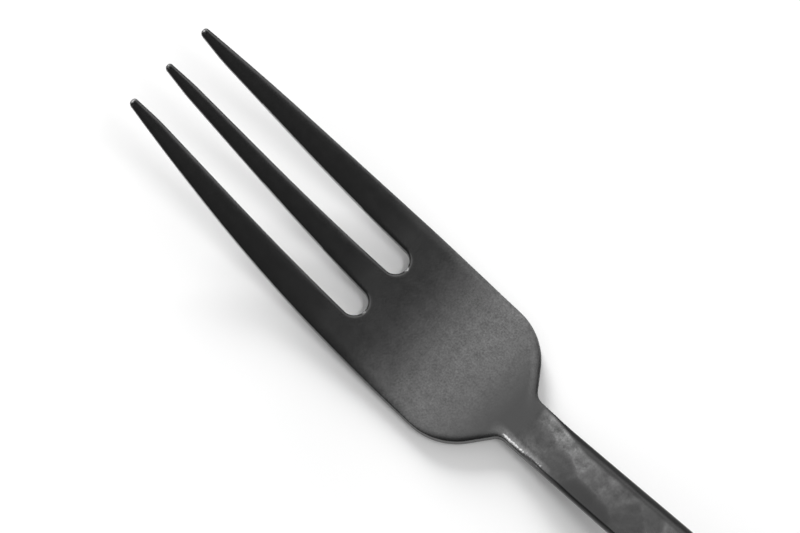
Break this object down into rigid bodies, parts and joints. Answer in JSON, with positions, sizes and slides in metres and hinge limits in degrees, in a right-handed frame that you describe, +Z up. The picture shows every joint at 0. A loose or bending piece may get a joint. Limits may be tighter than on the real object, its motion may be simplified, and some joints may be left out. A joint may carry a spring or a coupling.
{
  "type": "dinner fork",
  "caption": "Slim-tined dinner fork forged in one piece from blackened steel, with a smooth satin head and a hammered, gently arched handle.",
  "frame": {"origin": "on the table, under the middle of the fork's length and width", "axes": "+X along the fork from the tips of the tines to the end of the handle, +Y to the right-hand tine of someone who holds the handle, +Z up, with the fork lying face up"},
  "size_m": [0.206, 0.025, 0.0164],
  "materials": {
    "head_steel": "blackened, smooth satin with a fine tumbled grain",
    "handle_steel": "blackened and hammered, with lighter rubbed ridges between the marks"
  },
  "bodies": {
    "root": {"tine_left": "head_steel", "tine_middle": "head_steel", "tine_right": "head_steel", "palm": "head_steel", "handle": "handle_steel"}
  },
  "joints": []
}
